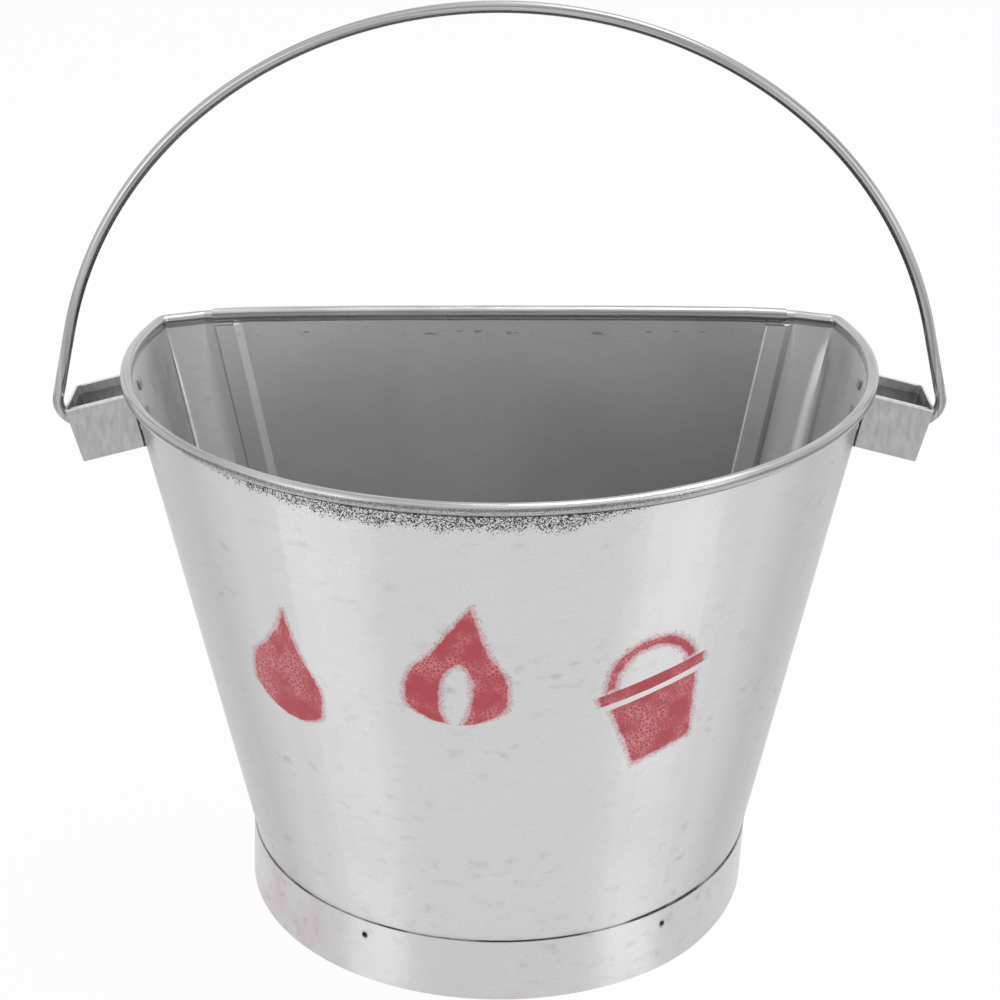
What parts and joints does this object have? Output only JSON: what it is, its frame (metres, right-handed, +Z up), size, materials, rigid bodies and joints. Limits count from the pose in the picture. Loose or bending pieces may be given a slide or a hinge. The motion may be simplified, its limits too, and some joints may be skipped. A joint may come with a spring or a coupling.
{
  "type": "fire bucket",
  "caption": "Half-round galvanised fire bucket with a flat back, rolled rim, lock-seamed body, raised bottom, foot band and swinging round-bar bail in strap lugs.",
  "frame": {"origin": "on the floor, under the middle of the overall width and depth with the bail at rest", "axes": "+Z up, the round front faces -Y, the flat back faces +Y, the bail's pivot axis runs along X"},
  "size_m": [0.353, 0.2058, 0.3833],
  "materials": {
    "body_sheet": "satin galvanised sheet, lightly rubbed",
    "bottom_sheet": "dull galvanised sheet",
    "foot_sheet": "satin galvanised sheet",
    "wire": "drawn wire",
    "lug_strap": "dull galvanised strap",
    "bail_bar": "smooth galvanised bar"
  },
  "bodies": {
    "bucket": {"front_shell": "body_sheet", "back_panel": "body_sheet", "bottom_plate": "bottom_sheet", "foot_band": "foot_sheet", "rim_wire": "wire", "left_lug": "lug_strap", "right_lug": "lug_strap"},
    "bail": {"bail": "bail_bar"}
  },
  "joints": [
    {"name": "bail_hinge", "type": "hinge", "parent": "bucket", "child": "bail", "pos_m": [0, 0.03107, 0.2115], "axis": [1, 0, 0], "range_deg": [-162, 135]}
  ]
}
